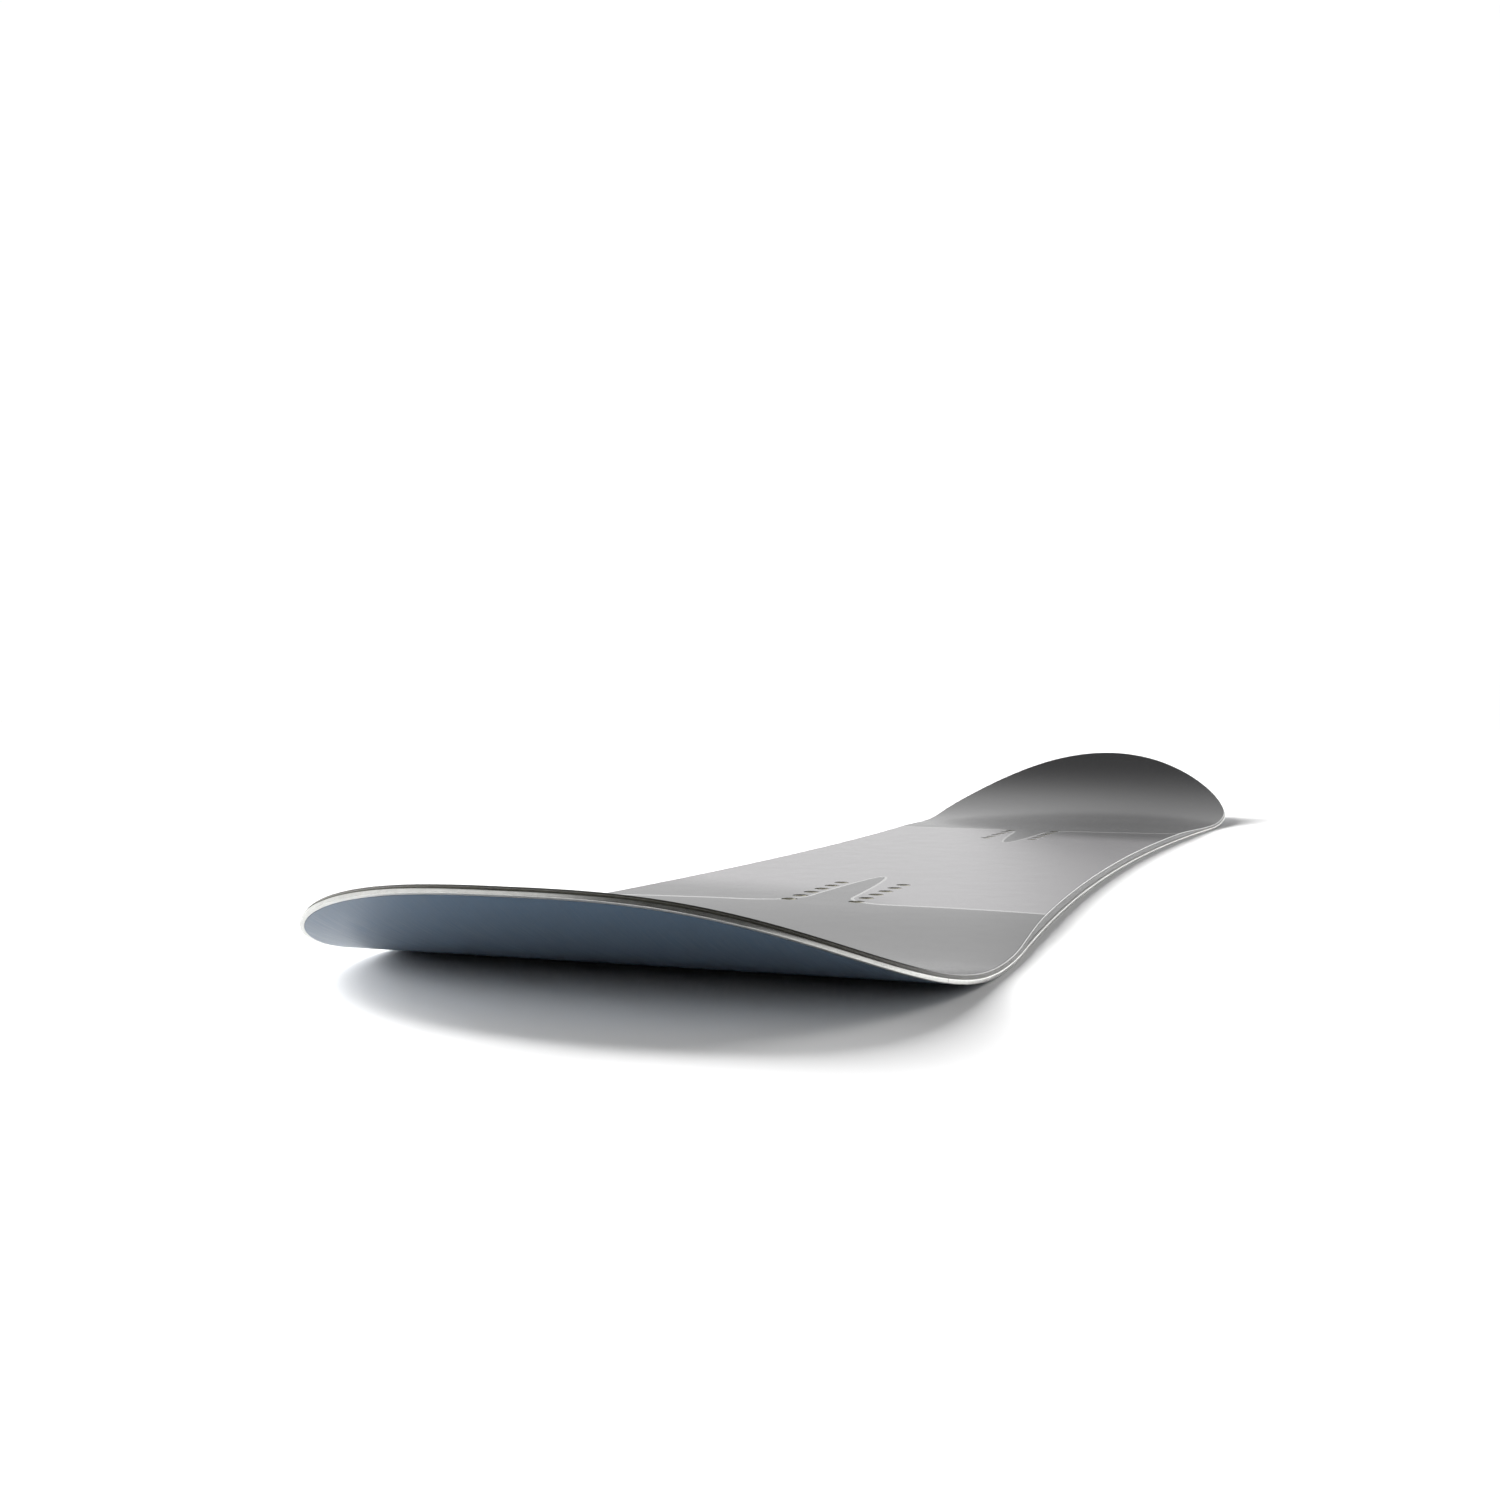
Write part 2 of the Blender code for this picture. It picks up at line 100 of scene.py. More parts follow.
# What follows from them
PACK_HALF = (PACK_HOLES - 1) * HOLE_PITCH / 2
PACK_NEAR = PACK_AT - PACK_HALF - HOLE_PITCH / 2
PACK_FAR = PACK_AT + PACK_HALF + HOLE_PITCH / 2
LEVEL_HALF = PACK_AT + PACK_HALF + PACK_MARGIN
BEAD_TOP = BASE_THICK + BOND + FLANGE_THICK
RIM_GLASS = BEAD_TOP + BOND
RIM_DAMPER = RIM_GLASS + GLASS_THICK + BOND
RIM_SIDEWALL = RIM_DAMPER + DAMPER_THICK + BOND
INNER_GLASS = BASE_THICK + BOND
INNER_CORE = INNER_GLASS + GLASS_THICK + BOND
UPPER_GLASS_TOP = TOPSHEET_THICK + BOND
CORE_TOP = UPPER_GLASS_TOP + GLASS_THICK + BOND
FLANGE_INSET = BEAD_WIDTH + FLANGE_REACH
STEP_INSET = FLANGE_INSET + BOND
STEP_RISE = RIM_GLASS - INNER_GLASS
STEP_SHIFT = GLASS_THICK * (math.sqrt(2) - 1)
CORE_INSET = STEP_INSET + STEP_RISE + STEP_SHIFT + BOND

# Fine surface: layers at the rim take in the bond lines beside them but for a hair, so it shows no open gaps
GLUE = 0.00018
BASE_FIT = 0.00005
STEEL_PROUD = 0.00015
TOP_ROUNDING = 0.00028
EDGE_ROUNDING = (0.00028, 0.00055)
RIM_SUPPORT = 0.0006
TRACE_STEPS = 6001
TIP_ROWS = 72
SPINE_REACH = 0.45
WIDE_ROWS = 0.0050
FINE_ROWS = 0.0025
INNER_LINES = 12
OUTER_LINES = 18
ROUNDED_STEPS = 4
SIDEWALL_STEPS = 6
HOLE_RADIUS = 0.0047
HOLE_LIP = 0.00020
PLAIN_LIP = 0.00002
HOLE_SHARES = (0.0, 0.3, 0.6, 0.85, 1.0)
WELD_DIGITS = 7
SHARP_ABOVE = math.radians(42)

# Threads of the inserts
THREAD_PITCH = 0.0010
THREAD_RADIUS = 0.0030
THREAD_SIDES = 32
THREAD_ROWS = 8
INSERT_CHAMFER = 0.0002

# Printed pin line, in distances from the stance centre and from the centreline
SPIKE_TIP = 0.160
SPIKE_OPENING = 0.037
SPIKE_ASIDE = (0.006, 0.0)
PIN_ACROSS = 0.3165
PIN_BOW = 1.5
PIN_BOW_FROM = 0.050
PIN_CORNER = 0.029
PIN_HALF = (0.0009, 0.0022)
PIN_SOFT = 0.00012

# Printed fade: at each end the pale print fades out towards one corner, the same after half a turn
FADE_AT = 0.193
FADE_BEND = 0.0094
FADE_ASIDE = 0.110
FADE_HALF = 0.050
FADE_LEFT = 0.08

# Finishes: threads of the cloth, hairlines in the base and the milling cutter's chatter on the sidewalls
CLOTH_PITCH = 0.0016
HAIR_LENGTH = 0.12
HAIR_SPACING = 0.0144
CHATTER_PITCH = 0.0035
LATH_WIDTH = ROW_GAP / 2


def ease(share):
    """Smooth step from 0 to 1: three squares less two cubes."""
    share = np.clip(share, 0.0, 1.0)
    return share * share * (3.0 - 2.0 * share)


def base_slope(s):
    """Slope of the base: nought between the contacts, a power of the way along each kick."""
    tail = np.clip((-s - TAIL_CONTACT) / TAIL_KICK, 0.0, 1.0) ** TAIL_SLOPE_POWER
    nose = np.clip((s - NOSE_CONTACT) / NOSE_KICK, 0.0, 1.0) ** NOSE_SLOPE_POWER
    return NOSE_SLOPE * nose - TAIL_SLOPE * tail


def mould_curve():
    """Arc length, distance along the floor, height and slope of the base: the running sum of its slope."""
    s = np.linspace(TAIL_TIP[1], NOSE_TIP[1], TRACE_STEPS)
    slope = base_slope(s)
    run = np.diff(s)
    mean = (slope[1:] + slope[:-1]) / 2
    x = np.concatenate([[0.0], np.cumsum(run * np.cos(mean))])
    z = np.concatenate([[0.0], np.cumsum(run * np.sin(mean))])
    return s, x - x[-1] / 2, z - z.min(), slope


MOULD = mould_curve()


def bend(flat):
    """Flat places on the mould: along its curve by s, then off it by h, square to its slope."""
    s, y, h = flat[..., 0], flat[..., 1], flat[..., 2]
    slope = np.interp(s, MOULD[0], MOULD[3])
    x = np.interp(s, MOULD[0], MOULD[1]) - h * np.sin(slope)
    z = np.interp(s, MOULD[0], MOULD[2]) + h * np.cos(slope)
    return np.stack([x, y, z], axis=-1)


def half_width(s):
    """Sidecut: a parabola out from the waist that eases to no slope at the widest places."""
    tailward = s < WAIST_AT
    reach = np.where(tailward, WAIST_AT + TAIL_WIDEST_AT, NOSE_WIDEST_AT - WAIST_AT)
    depth = (np.where(tailward, TAIL_WIDTH, NOSE_WIDTH) - WAIST_WIDTH) / 2
    far = np.minimum(np.abs(s - WAIST_AT), reach)
    straight = reach - SIDECUT_RUNOUT
    past = np.maximum(far - straight, 0.0)
    rate = depth / (straight * reach)
    inner = rate * np.minimum(far, straight) ** 2
    outer = rate * straight * (2 * past - past * past / SIDECUT_RUNOUT)
    return WAIST_WIDTH / 2 + inner + outer


def thinned(s):
    """Nought over the stance to one at the tips."""
    return ease((np.abs(s) - LEVEL_HALF) / THINNING_LENGTH)


def thickness(s):
    """Height of the top of the board over its base."""
    return MIDDLE_THICK + (TIP_THICK - MIDDLE_THICK) * thinned(s)


def lean(s):
    """How far the rim leans in between the top of the steel and the top of the board."""
    return SIDEWALL_LEAN + (TIP_LEAN - SIDEWALL_LEAN) * thinned(s)


def tip_line(tip):
    """Half of a tip from its widest place to its end: a superellipse, in even steps of its own length."""
    widest, end, half, powers = tip
    turn = np.linspace(0.0, math.pi / 2, TRACE_STEPS)
    s = widest + (end - widest) * np.sin(turn) ** (2 / powers[0])
    y = half * np.maximum(np.cos(turn), 0.0) ** (2 / powers[1])
    along = np.concatenate([[0.0], np.cumsum(np.hypot(np.diff(s), np.diff(y)))])
    even = np.linspace(0.0, along[-1], TIP_ROWS + 1)
    y = np.interp(even, along, y)
    y[-1] = 0.0
    return np.interp(even, along, s), y


def stretch(start, end, step):
    """Even places from start to just before end, about a step apart."""
    count = round((end - start) / step)
    return np.linspace(start, end, count + 1)[:-1]


def side_rows():
    """Rows across the board between its widest places, closer together round the inserts."""
    marks = (-TAIL_WIDEST_AT, -PACK_FAR, -PACK_NEAR, PACK_NEAR, PACK_FAR, NOSE_WIDEST_AT)
    steps = (WIDE_ROWS, FINE_ROWS, WIDE_ROWS, FINE_ROWS, WIDE_ROWS)
    parts = [stretch(*ends) for ends in zip(marks[:-1], marks[1:], steps)]
    return np.concatenate(parts + [marks[-1:]])


def make_outline():
    """The left half of the outline from tail to nose, a row for each of its places.

    The columns are s, y, the inward normal in s and in y, the place on the centreline that a row across the
    board runs to (straight across between the widest places, drawn in to a short spine in the tips), and the
    distance along the outline from the nearer tip.
    """
    rows = side_rows()
    slope = np.gradient(half_width(rows), rows)
    slope[[0, -1]] = 0.0
    side = np.stack([rows, half_width(rows), 0 * rows, -np.sqrt(1 + slope * slope), rows], axis=1)
    tips = []
    for tip in (TAIL_TIP, NOSE_TIP):
        s, y = tip_line(tip)
        away = math.copysign(1.0, tip[1])
        ds, dy = np.gradient(s), np.gradient(y)
        ds[-1] = 0.0
        length = np.hypot(ds, dy)
        spine = tip[0] + (tip[1] - tip[0]) * SPINE_REACH * np.linspace(0.0, 1.0, len(s))
        tips.append(np.stack([s, y, away * dy / length, -away * ds / length, spine], axis=1)[1:])
    line = np.concatenate([tips[0][::-1], side, tips[1]])
    along = np.concatenate([[0.0], np.cumsum(np.hypot(*np.diff(line[:, :2], axis=0).T))])
    return np.column_stack([line, np.minimum(along, along[-1] - along)])


OUTLINE = make_outline()


def rows_between(low, high):
    """The rows of the outline between two cuts across the board, and one at each cut."""
    s = OUTLINE[:, 0]
    cuts = [[np.interp(cut, s, column) for column in OUTLINE.T] for cut in (low, high)]
    return np.concatenate([cuts[:1], OUTLINE[(s > low) & (s < high)], cuts[1:]])


def at(height):
    """The same height all along the board."""
    return lambda s: np.full_like(s, height)


def below_top(depth):
    """The height that keeps this far under the top of the board."""
    return lambda s: thickness(s) - depth


def leaning(height):
    """The inset of the rim's leaning face at this height, a little behind the steel at its foot."""
    return lambda s: STEEL_PROUD + lean(s) * (height(s) - BEAD_TOP) / (thickness(s) - BEAD_TOP)


def rim_place(rows, inset, height):
    """Flat places along the rim: the outline moved in along its normals, at a height."""
    s, y, normal_s, normal_y = rows[:, :4].T
    inset = inset(s)
    s = s + inset * normal_s
    return np.stack([s, y + inset * normal_y, height(s)], axis=-1)


def across(rows, rim, height):
    """Rows of flat places from the centreline out to the rim's, at a height that follows s.

    The lines that join them keep fixed distances from the centreline up to the inserts, then part evenly up
    to one that runs close inside the rim.
    """
    spine = np.stack([rows[:, 4], 0 * rows[:, 4], 0 * rows[:, 4]], axis=-1)
    width = np.linalg.norm((rim - spine)[:, :2], axis=1)[:, None]
    between = np.clip(rows[:, 0], -TAIL_WIDEST_AT, NOSE_WIDEST_AT)
    level = np.interp(between, rows[:, 0], width[:, 0])[:, None]
    inner = np.arange(INNER_LINES + 1) * FINE_ROWS / level
    last = 1.0 - RIM_SUPPORT / width
    outer = inner[:, -1:] + (last - inner[:, -1:]) * np.arange(1, OUTER_LINES + 1) / OUTER_LINES
    shares = np.concatenate([inner, outer, np.ones_like(width)], axis=1)
    flat = spine[:, None] + (rim - spine)[:, None] * shares[..., None]
    flat[..., 2] = height(flat[..., 0])
    return flat


def rounded(before, corner, after):
    """Places along a corner that is rounded off: the quadratic curve from before to after."""
    shares = np.linspace(0.0, 1.0, ROUNDED_STEPS + 1)
    return [before * (1 - t) ** 2 + corner * 2 * t * (1 - t) + after * t * t for t in shares]


def grid_faces(rows, columns, closed=False):
    """Quads of a grid of points, row after row; a closed one joins its last column to its first."""
    grid = np.arange(rows * columns).reshape(rows, columns)
    beside = np.roll(grid, -1, axis=1) if closed else grid[:, 1:]
    grid = grid if closed else grid[:, :-1]
    return np.stack([grid[:-1], grid[1:], beside[1:], beside[:-1]], axis=-1).reshape(-1, 4)


def solid(name, flat, faces, material, nodes, caps=(), marks=None):
    """A piece from flat places and quads: what coincides is welded, bent to the mould and turned outwards.

    A quad whose corners fall together, as at a pole, becomes a triangle or goes. Marks are more values for
    each place, which materials read as attributes. The flat places are one too.
    """
    places, index = np.unique(np.round(flat, WELD_DIGITS), axis=0, return_inverse=True)
    index = index.ravel()
    points = bend(places)
    quads = index[faces]
    corner = points[quads]
    normal = np.cross(corner[:, 2] - corner[:, 0], corner[:, 3] - corner[:, 1])
    polygons = [list(dict.fromkeys(quad)) for quad in quads.tolist()]
    polygons = [polygon for polygon in polygons if len(polygon) > 2]
    polygons += [index[cap].tolist() for cap in caps]
    if np.sum(corner.mean(axis=1) * normal) < 0:
        polygons = [polygon[::-1] for polygon in polygons]
    mesh = bpy.data.meshes.new(name)
    mesh.from_pydata(points.tolist(), [], polygons)
    kept = {mark: kept_values(values, index) for mark, values in (marks or {}).items()}
    store_marks(mesh, {"flat": places, **kept})
    return finished(name, mesh, material, nodes)


def kept_values(values, index):
    """Values of places carried over to the welded places."""
    kept = np.zeros((index.max() + 1,) + values.shape[1:])
    kept[index] = values
    return kept


def store_marks(mesh, marks):
    """Puts numbers or vectors on a mesh's points as attributes."""
    for mark, values in marks.items():
        kind, field = ("FLOAT_VECTOR", "vector") if values.ndim == 2 else ("FLOAT", "value")
        mesh.attributes.new(mark, kind, "POINT").data.foreach_set(field, values.astype(np.float32).ravel())


def finished(name, mesh, material, nodes):
    """An object of this mesh, riding on the board in place of the nodes it stands for."""
    mesh.shade_smooth()
    mesh.set_sharp_from_angle(angle=SHARP_ABOVE)
    mesh.materials.append(material)
    piece = bpy.data.objects.new(name, mesh)
    bpy.context.scene.collection.objects.link(piece)
    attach(piece, "root")
    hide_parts(*nodes)
    return piece


def pin_marks(flat):
    """Signed distance to the printed pin line, positive on the pale middle, and half the line's width.

    The pale middle ends at a line across the board that bows towards the tip near the sides, and is split by
    a parabola whose tip lies a little aside. The distance to the parabola is its equation's value over the
    mean of its gradients at the place and on the line. The corner between them is an arc: radius less
    distance to the arc's centre. The width goes from the parabola's to the cross line's with the square of
    the arc's sine.
    """
    far, wide = np.abs(flat[..., 0]), np.abs(flat[..., 1])
    ahead = far - SPIKE_TIP
    aside = np.interp(far, (SPIKE_TIP, PIN_ACROSS), SPIKE_ASIDE)
    beyond = np.abs(flat[..., 1] + np.sign(flat[..., 0]) * aside)
    level = (beyond / SPIKE_OPENING) ** 2 - ahead
    slope = np.hypot(1.0, 2 * beyond / SPIKE_OPENING ** 2)
    beside = 2 * level / (slope + np.hypot(1.0, 2 * np.sqrt(np.maximum(ahead, 0.0)) / SPIKE_OPENING))
    before = PIN_ACROSS + PIN_BOW * np.maximum(wide - PIN_BOW_FROM, 0.0) ** 2 - far
    short = np.maximum(PIN_CORNER - np.stack([beside, before]), 0.0)
    reach = np.hypot(*short)
    across = (short[1] / np.maximum(reach, PIN_SOFT)) ** 2
    return {"pin": PIN_CORNER - reach, "pin_half": PIN_HALF[0] + (PIN_HALF[1] - PIN_HALF[0]) * across}


def fade(flat):
    """How pale the print is: one in the middle, easing down towards one corner of each end.

    The half tone lies at a distance from the stance centre that falls with the distance aside: a constant
    over it, as a hyperbola.
    """
    far, aside = np.abs(flat[..., 0]), -np.sign(flat[..., 0]) * flat[..., 1]
    half_tone = FADE_AT + FADE_BEND / np.maximum(FADE_ASIDE + aside, FADE_BEND)
    return FADE_LEFT + (1 - FADE_LEFT) * ease((half_tone - far) / (2 * FADE_HALF) + 0.5)


def sheet(name, rows, top, bottom, profile, material, slot, nodes, holes=None):
    """A full-width layer: rows from the centreline to the rim, round the rim's profile and back under.

    The right half mirrors the left. Where the rows stop short of a tip, the layer has a flat end. Holes gives
    the rings of the cells round the inserts, which then take the place of the grid there.
    """
    upper = across(rows, profile[0], top)
    lower = across(rows, profile[-1], bottom)[:, ::-1]
    left = np.concatenate([upper, np.stack(profile, axis=1)[:, 1:-1], lower], axis=1)
    count, columns = left.shape[:2]
    flat = np.concatenate([left, left * (1.0, -1.0, 1.0)]).reshape(-1, 3)
    half = grid_faces(count, columns)
    faces = np.concatenate([half, half[:, ::-1] + count * columns])
    caps = []
    for row in (0, count - 1):
        if rows[row, 1] > 0.0:
            ring = row * columns + np.arange(columns)
            cap = np.concatenate([ring, ring[-2:0:-1] + count * columns])
            caps.append(cap if row == 0 else cap[::-1])
    if holes is not None:
        middle = flat[faces].mean(axis=1)
        out = np.abs(np.abs(middle[:, :2]) - (PACK_AT, ROW_GAP / 2)) < (PACK_FAR - PACK_AT, HOLE_PITCH / 2)
        faces = faces[~out.all(axis=1)]
        cells, cell_faces = hole_cells(holes)
        faces = np.concatenate([faces, cell_faces + len(flat)])
        flat = np.concatenate([flat, cells])
    marks = {**pin_marks(flat), "fade": fade(flat)} if slot == "topsheet_film" else {}
    return solid(name, flat, faces, material, nodes, caps, marks)


def insert_centres():
    """The flat places of the inserts: pack, row, then number from the tail."""
    steps = np.arange(PACK_HOLES) * HOLE_PITCH - PACK_HALF
    return np.array([(pack + step, y) for pack in (-PACK_AT, PACK_AT)
                     for y in (ROW_GAP / 2, -ROW_GAP / 2) for step in steps])


def hole_cells(rings):
    """Square cells round the inserts, each a tube from the square above through the hole to the square below.

    A ring is given by how far it has gone from the square to the circle, the circle's radius and its height.
    """
    side = int(HOLE_PITCH / FINE_ROWS)
    step = np.linspace(-1.0, 1.0, side + 1)[:-1]
    edge = np.ones(side)
    square = np.concatenate([np.stack([step, -edge]), np.stack([edge, step]),
                             np.stack([-step, edge]), np.stack([-edge, -step])], axis=1).T * HOLE_PITCH / 2
    circle = square / np.linalg.norm(square, axis=1, keepdims=True)
    share, radius, height = np.array(rings).T[:, :, None, None]
    ring = square * (1 - share) + circle * radius * share
    cell = np.concatenate([ring, np.broadcast_to(height, ring.shape[:2] + (1,))], axis=-1)
    centres = np.pad(insert_centres(), ((0, 0), (0, 1)))
    flat = centres[:, None, None] + cell
    one = grid_faces(len(rings), len(square), closed=True)
    faces = one + np.arange(len(centres))[:, None, None] * cell[..., 0].size
    return flat.reshape(-1, 3), faces.reshape(-1, 4)


def hole_rings(top, bottom, lip):
    """Rings of a cell: in over the top, over a rounded lip, down the wall and back out underneath."""
    rings = [(share, HOLE_RADIUS + 2 * lip, top) for share in HOLE_SHARES]
    for turn in np.radians((0.0, 30.0, 60.0, 90.0)):
        rings.append((1.0, HOLE_RADIUS + lip * (1 - math.sin(turn)), top - lip * (1 - math.cos(turn))))
    rings += [(share, HOLE_RADIUS, bottom) for share in (1.0, 0.5, 0.0)]
    return rings


def sweep(name, runs, section, material, nodes):
    """A section carried along runs of the rim, from one flat end to the other.

    A run is rows of the outline and the side it is on. The section lists insets and heights once round. Each
    place is marked with its distance along the rim, its height and its inset.
    """
    rings, marks = [], []
    for rows, side in runs:
        ring = np.stack([rim_place(rows, inset, height) for inset, height in section], axis=1)
        insets = np.stack([inset(rows[:, 0]) for inset, _ in section], axis=1)
        along = np.broadcast_to(side * rows[:, 5:6], insets.shape)
        rings.append(ring * (1.0, side, 1.0))
        marks.append(np.stack([along, ring[..., 2], insets], axis=-1))
    flat = np.concatenate(rings)
    count, points = flat.shape[:2]
    first = np.arange(points)
    caps = [first, (first + (count - 1) * points)[::-1]]
    faces = grid_faces(count, points, closed=True)
    marks = {"rim": np.concatenate(marks).reshape(-1, 3)}
    return solid(name, flat.reshape(-1, 3), faces, material, nodes, caps, marks)


# Node helpers


def node(tree, kind, inputs=None, **settings):
    """A node with its settings. Each input is a plain value, or the output that feeds it."""
    made = tree.nodes.new(kind)
    for setting, value in settings.items():
        setattr(made, setting, value)
    for name, value in (inputs or {}).items():
        if isinstance(value, bpy.types.NodeSocket):
            tree.links.new(value, made.inputs[name])
        else:
            made.inputs[name].default_value = value
    return made


def sums(tree, operation, *values):
    """The output of a Math node."""
    return node(tree, "ShaderNodeMath", dict(enumerate(values)), operation=operation).outputs[0]


def ramp(tree, value, low, high, to_low=0.0, to_high=1.0):
    """A value taken smoothly from one range to another."""
    inputs = {"Value": value, "From Min": low, "From Max": high, "To Min": to_low, "To Max": to_high}
    return node(tree, "ShaderNodeMapRange", inputs, interpolation_type="SMOOTHSTEP").outputs["Result"]


def mix(tree, share, first, second):
    """One colour over another."""
    colours = [tone if isinstance(tone, bpy.types.NodeSocket) else (*tone, 1.0) for tone in (first, second)]
    inputs = {0: share, 6: colours[0], 7: colours[1]}
    return node(tree, "ShaderNodeMix", inputs, data_type="RGBA").outputs[2]


def mark(tree, name):
    """A vector that the piece's points are marked with."""
    return node(tree, "ShaderNodeAttribute", attribute_name=name).outputs["Vector"]


def noise(tree, place, scale, detail, roughness=0.5):
    """Noise at a place, about half way between nought and one."""
    inputs = {"Vector": place, "Scale": scale, "Detail": detail, "Roughness": roughness}
    return node(tree, "ShaderNodeTexNoise", inputs).outputs["Fac"]


def scaled(tree, place, factors):
    """A place stretched along each axis."""
    return node(tree, "ShaderNodeMapping", {"Vector": place, "Scale": factors}).outputs["Vector"]


def new_group(name, inputs, output):
    """A shader group with these inputs and one output, and the sockets inside it."""
    tree = bpy.data.node_groups.new(name, "ShaderNodeTree")
    for socket, kind, start in inputs:
        made = tree.interface.new_socket(socket, in_out="INPUT", socket_type=f"NodeSocket{kind}")
        if start is not None:
            made.default_value = start
    tree.interface.new_socket(output, in_out="OUTPUT", socket_type="NodeSocketFloat")
    return tree, node(tree, "NodeGroupInput").outputs, node(tree, "NodeGroupOutput").inputs


def place_group(tree, group, inputs):
    """The output of a group that is placed in a material with its own values."""
    return node(tree, "ShaderNodeGroup", inputs, node_tree=group).outputs[0]


def speckle_group():
    """Fine mottling: two sizes of noise, the coarse one weaker."""
    sockets = [("Place", "Vector", None), ("Size", "Float", 0.001)]
    group, given, out = new_group("speckle", sockets, "Amount")
    fine = noise(group, given["Place"], sums(group, "DIVIDE", 1.0, given["Size"]), 4.0, 0.6)
    coarse = noise(group, given["Place"], sums(group, "DIVIDE", 0.08, given["Size"]), 2.0)
    both = sums(group, "MULTIPLY_ADD", fine, 0.7, sums(group, "MULTIPLY", coarse, 0.3))
    group.links.new(both, out["Amount"])
    return group


def lines_group():
    """Long fine lines, as grinding, brushing or wood grain leaves them: noise drawn out along one axis."""
    sockets = [("Place", "Vector", None), ("Length", "Float", 0.1), ("Width", "Float", 0.001)]
    group, given, out = new_group("long_lines", sockets, "Amount")
    split = node(group, "ShaderNodeSeparateXYZ", {0: given["Place"]}).outputs
    drawn = node(group, "ShaderNodeCombineXYZ", {
        0: sums(group, "DIVIDE", split[0], given["Length"]),
        1: sums(group, "DIVIDE", split[1], given["Width"]),
        2: sums(group, "DIVIDE", split[2], given["Width"])}).outputs[0]
    group.links.new(noise(group, drawn, 1.0, 3.0, 0.65), out["Amount"])
    return group


def weave_group():
    """Plain weave: two rows of threads at right angles that rise in turn, from the product of two sines."""
    sockets = [("Place", "Vector", None), ("Pitch", "Float", 0.001)]
    group, given, out = new_group("plain_weave", sockets, "Height")
    split = node(group, "ShaderNodeSeparateXYZ", {0: given["Place"]}).outputs
    waves = []
    for axis in (0, 1):
        turns = sums(group, "DIVIDE", split[axis], given["Pitch"])
        waves.append(sums(group, "SINE", sums(group, "MULTIPLY", turns, math.pi)))
    product = sums(group, "MULTIPLY", *waves)
    group.links.new(sums(group, "MULTIPLY_ADD", product, 0.5, 0.5), out["Height"])
    return group


SPECKLE = speckle_group()
LINES = lines_group()
WEAVE = weave_group()


def new_material(name, **sockets):
    """A material with a Principled shader whose plain sockets are set here, and its tree."""
    made = bpy.data.materials.new(name)
    made.use_nodes = True
    shader = made.node_tree.nodes["Principled BSDF"]
    for socket, value in sockets.items():
        shader.inputs[socket.replace("_", " ")].default_value = value
    return made, made.node_tree, shader.inputs


def bump(tree, inputs, height, distance):
    """Feeds a height to a shader's normal."""
    made = node(tree, "ShaderNodeBump", {"Height": height, "Distance": distance})
    tree.links.new(made.outputs["Normal"], inputs["Normal"])


def topsheet_film():
    """Satin printed film: dark grey ends, pale grey middle, a white pin line, cloth faintly through it."""
    made, tree, shader = new_material("topsheet_film", IOR=1.5)
    flat = mark(tree, "flat")
    pin, half, faded = (node(tree, "ShaderNodeAttribute", attribute_name=name).outputs["Fac"]
                        for name in ("pin", "pin_half", "fade"))
    pale = sums(tree, "MULTIPLY", ramp(tree, pin, -PIN_SOFT, PIN_SOFT), faded)
    outside = sums(tree, "SUBTRACT", sums(tree, "ABSOLUTE", pin), half)
    line = ramp(tree, outside, -PIN_SOFT, PIN_SOFT, 1.0, 0.0)
    mottle = place_group(tree, SPECKLE, {"Place": flat, "Size": 0.0012})
    dark = mix(tree, mottle, (0.037, 0.037, 0.038), (0.042, 0.042, 0.043))
    light = mix(tree, mottle, (0.218, 0.211, 0.218), (0.231, 0.224, 0.231))
    colour = mix(tree, line, mix(tree, pale, dark, light), (0.38, 0.38, 0.375))
    tree.links.new(colour, shader["Base Color"])
    tree.links.new(ramp(tree, mottle, 0.3, 0.7, 0.14, 0.18), shader["Roughness"])
    weave = place_group(tree, WEAVE, {"Place": flat, "Pitch": CLOTH_PITCH})
    relief = sums(tree, "MULTIPLY_ADD", weave, 0.35, sums(tree, "MULTIPLY", mottle, 0.65))
    bump(tree, shader, relief, 0.0000015)
    return made


def hairlines(tree, place):
    """Sparse hairlines: the narrow edges between long cells, kept only where a broad noise allows."""
    split = node(tree, "ShaderNodeSeparateXYZ", {0: place}).outputs
    wander = sums(tree, "MULTIPLY_ADD", noise(tree, place, 14.0, 2.0), 0.02, split[1])
    drawn = node(tree, "ShaderNodeCombineXYZ", {
        0: sums(tree, "DIVIDE", split[0], HAIR_LENGTH),
        1: sums(tree, "DIVIDE", wander, HAIR_SPACING)}).outputs[0]
    cells = node(tree, "ShaderNodeTexVoronoi", {"Vector": drawn, "Scale": 1.0}, feature="DISTANCE_TO_EDGE")
    thin = ramp(tree, cells.outputs["Distance"], 0.0, 0.010, 1.0, 0.0)
    return sums(tree, "MULTIPLY", thin, ramp(tree, noise(tree, place, 25.0, 2.0), 0.50, 0.62))


